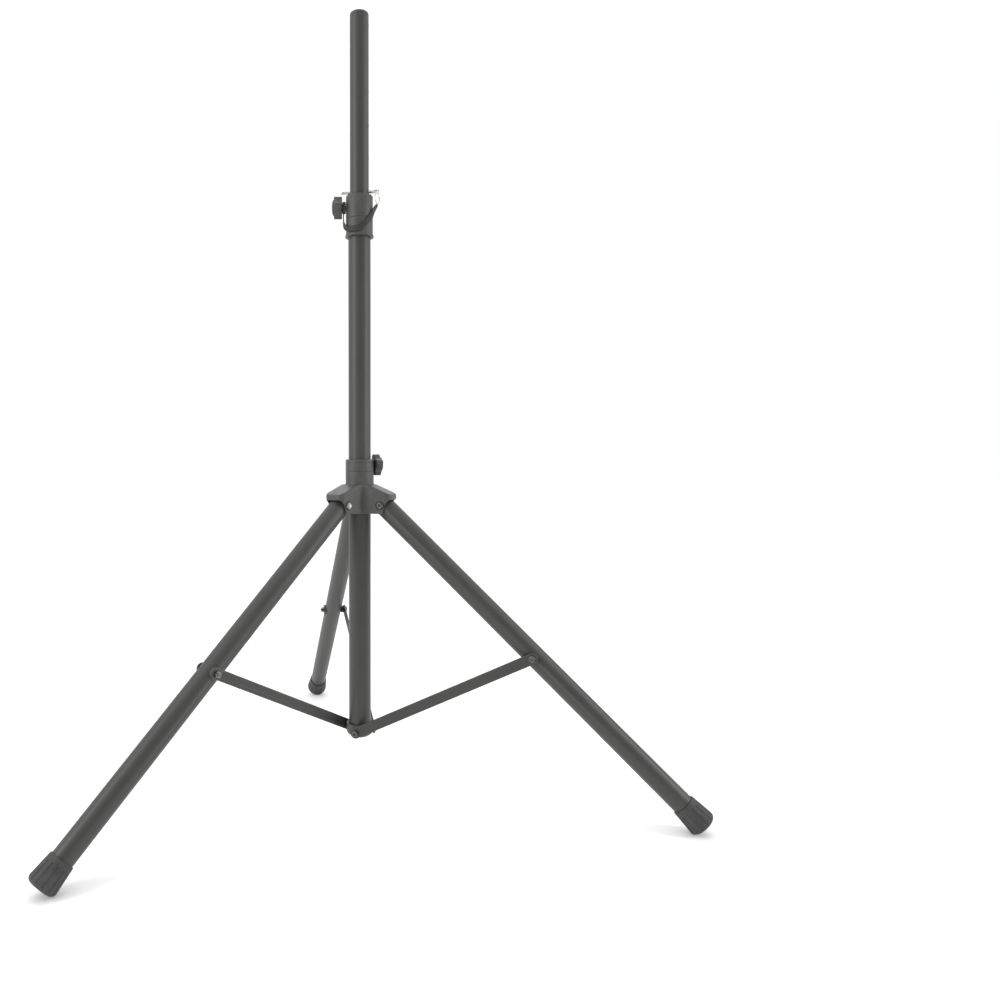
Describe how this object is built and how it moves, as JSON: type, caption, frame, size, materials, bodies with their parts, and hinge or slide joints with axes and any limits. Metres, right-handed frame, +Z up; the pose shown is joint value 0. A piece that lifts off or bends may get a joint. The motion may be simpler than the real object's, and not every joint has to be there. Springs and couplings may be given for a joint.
{
  "type": "speaker tripod stand",
  "caption": "Folding tripod stand for a loudspeaker: telescoping mast pinned and clamped in a column, on legs that spread from a sliding hub with strap braces.",
  "frame": {"origin": "on the floor under the middle of the opened footprint, bounding box bottom centre; the column stands 148.2 mm towards -Y of it", "axes": "+Z up along the column, +Y from the column towards the back leg, +X to the right of someone facing along +Y"},
  "size_m": [1.0808, 0.9426, 1.442],
  "materials": {
    "powder_coat": "satin charcoal powder coat with a fine grain",
    "moulding": "charcoal glass-filled moulding, lightly textured",
    "nylon": "black nylon",
    "rubber": "matt black rubber",
    "strap": "matt black flexible strap",
    "black_steel": "black oxide steel",
    "chrome": "bright chrome plate",
    "brass": "brass"
  },
  "bodies": {
    "column": {"column_tube": "powder_coat", "bottom_bracket": "moulding", "bracket_screw_left": "black_steel", "bracket_screw_right": "black_steel", "bracket_screw_back": "black_steel", "collar_head": "moulding", "collar_ferrule": "moulding", "collar_liner": "nylon", "collar_insert": "brass", "collar_pad": "nylon", "tether_loop": "strap", "tether_strap": "strap"},
    "mast": {"mast_tube": "powder_coat", "mast_cap": "moulding", "mast_guide_plug": "nylon"},
    "pin": {"lock_pin": "chrome", "pin_ring": "chrome"},
    "collar_knob_body": {"collar_knob": "moulding", "collar_knob_cover": "moulding", "collar_screw": "black_steel"},
    "hub_body": {"hub": "moulding", "hub_liner": "nylon", "hub_insert": "brass", "hub_pad": "nylon", "pivot_bolt_left": "black_steel", "pivot_nut_left": "black_steel", "pivot_bolt_right": "black_steel", "pivot_nut_right": "black_steel", "pivot_bolt_back": "black_steel", "pivot_nut_back": "black_steel"},
    "hub_knob_body": {"hub_knob": "moulding", "hub_knob_cover": "moulding", "hub_screw": "black_steel"},
    "leg_left": {"leg_tube_left": "powder_coat", "leg_plug_left": "nylon", "foot_left": "rubber", "brace_spacer_left": "nylon", "brace_washer_left": "moulding", "brace_nut_left": "black_steel", "brace_bolt_left": "black_steel"},
    "brace_left": {"brace_strap_left": "powder_coat", "brace_bolt_head_left": "black_steel"},
    "leg_right": {"leg_tube_right": "powder_coat", "leg_plug_right": "nylon", "foot_right": "rubber", "brace_spacer_right": "nylon", "brace_washer_right": "moulding", "brace_nut_right": "black_steel", "brace_bolt_right": "black_steel"},
    "brace_right": {"brace_strap_right": "powder_coat", "brace_bolt_head_right": "black_steel"},
    "leg_back": {"leg_tube_back": "powder_coat", "leg_plug_back": "nylon", "foot_back": "rubber", "brace_spacer_back": "nylon", "brace_washer_back": "moulding", "brace_nut_back": "black_steel", "brace_bolt_back": "black_steel"},
    "brace_back": {"brace_strap_back": "powder_coat", "brace_bolt_head_back": "black_steel"}
  },
  "joints": [
    {"name": "hub_slide", "type": "slide", "parent": "column", "child": "hub_body", "axis": [0, 0, 1], "range_m": [0, 0.31289]},
    {"name": "mast_slide", "type": "slide", "parent": "column", "child": "mast", "axis": [0, 0, 1], "range_m": [-0.3, 0.42]},
    {"name": "pin_pull", "type": "slide", "parent": "column", "child": "pin", "axis": [0.9455, -0.3256, 0], "range_m": [0, 0.06]},
    {"name": "collar_knob_turn", "type": "hinge", "parent": "column", "child": "collar_knob_body", "pos_m": [-0.03927, -0.14054, 1.0905], "axis": [-0.9816, 0.1908, 0], "range_deg": [0, 450]},
    {"name": "hub_knob_turn", "type": "hinge", "parent": "hub_body", "child": "hub_knob_body", "pos_m": [0.0411, -0.14239, 0.614], "axis": [0.9903, 0.1392, 0], "range_deg": [0, 450]},
    {"name": "leg_fold_left", "type": "hinge", "parent": "hub_body", "child": "leg_left", "pos_m": [-0.0407, -0.17167, 0.5395], "axis": [0.5, -0.866, 0], "range_deg": [0, 44.81]},
    {"name": "brace_fold_left", "type": "hinge", "parent": "column", "child": "brace_left", "pos_m": [-0.01255, -0.12643, 0.1088], "axis": [-0.5, 0.866, 0], "range_deg": [0, 53.07]},
    {"name": "leg_fold_right", "type": "hinge", "parent": "hub_body", "child": "leg_right", "pos_m": [0.0407, -0.17167, 0.5395], "axis": [0.5, 0.866, 0], "range_deg": [0, 44.81]},
    {"name": "brace_fold_right", "type": "hinge", "parent": "column", "child": "brace_right", "pos_m": [-0.01255, -0.16991, 0.1088], "axis": [-0.5, -0.866, 0], "range_deg": [0, 53.07]},
    {"name": "leg_fold_back", "type": "hinge", "parent": "hub_body", "child": "leg_back", "pos_m": [0, -0.10117, 0.5395], "axis": [-1, 0, 0], "range_deg": [0, 44.81]},
    {"name": "brace_fold_back", "type": "hinge", "parent": "column", "child": "brace_back", "pos_m": [0.0251, -0.14817, 0.1088], "axis": [1, 0, 0], "range_deg": [0, 53.07]}
  ],
  "couplings": [
    {"joint": "leg_fold_left", "follows": "hub_slide", "rad_per_m": 2.499},
    {"joint": "brace_fold_left", "follows": "hub_slide", "rad_per_m": 2.96},
    {"joint": "leg_fold_right", "follows": "hub_slide", "rad_per_m": 2.499},
    {"joint": "brace_fold_right", "follows": "hub_slide", "rad_per_m": 2.96},
    {"joint": "leg_fold_back", "follows": "hub_slide", "rad_per_m": 2.499},
    {"joint": "brace_fold_back", "follows": "hub_slide", "rad_per_m": 2.96}
  ]
}
